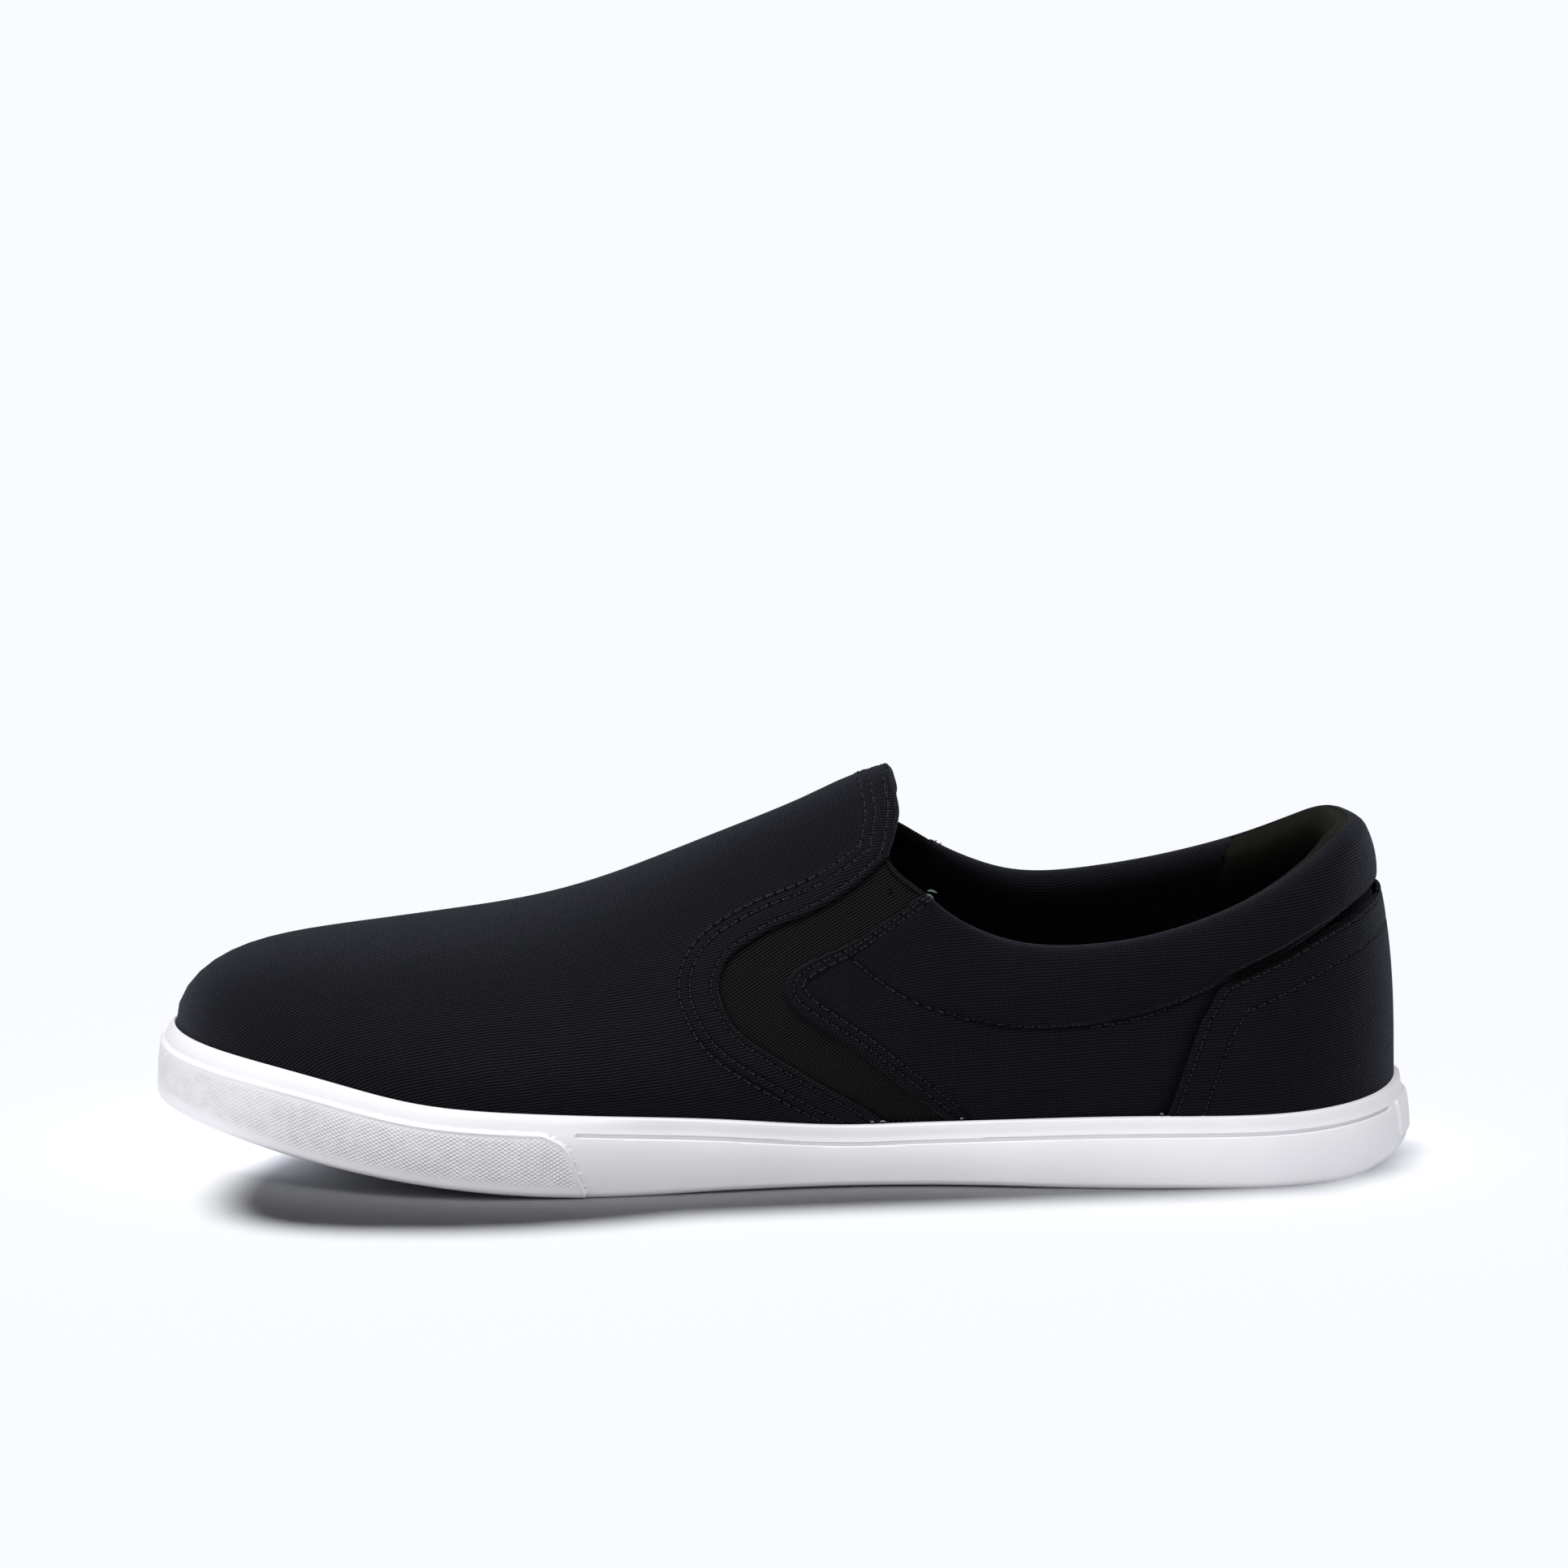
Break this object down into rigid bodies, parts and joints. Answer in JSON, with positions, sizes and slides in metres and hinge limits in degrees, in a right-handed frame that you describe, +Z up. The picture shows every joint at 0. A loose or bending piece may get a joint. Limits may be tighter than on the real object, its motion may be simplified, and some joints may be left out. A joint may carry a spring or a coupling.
{
  "type": "slip-on sneaker",
  "caption": "Low canvas slip-on sneaker with a padded collar, chevron elastic side gores, a heel overlay and a white rubber cup sole with a raised toe bumper.",
  "frame": {"origin": "centre of the shoe's box at floor height", "axes": "+X towards the toe, +Y towards the outer side of the left foot, +Z up"},
  "size_m": [0.2974, 0.1072, 0.0924],
  "materials": {
    "canvas": "near-black navy plain-weave cotton canvas, matt",
    "elastic": "black ribbed elastic webbing, matt",
    "board": "dark textile-covered foam board",
    "rubber": "white vulcanised rubber, satin"
  },
  "bodies": {
    "root": {"upper": "canvas", "heel_counter": "canvas", "gore_lateral": "elastic", "gore_medial": "elastic", "insole": "board", "cupsole": "rubber"}
  },
  "joints": []
}
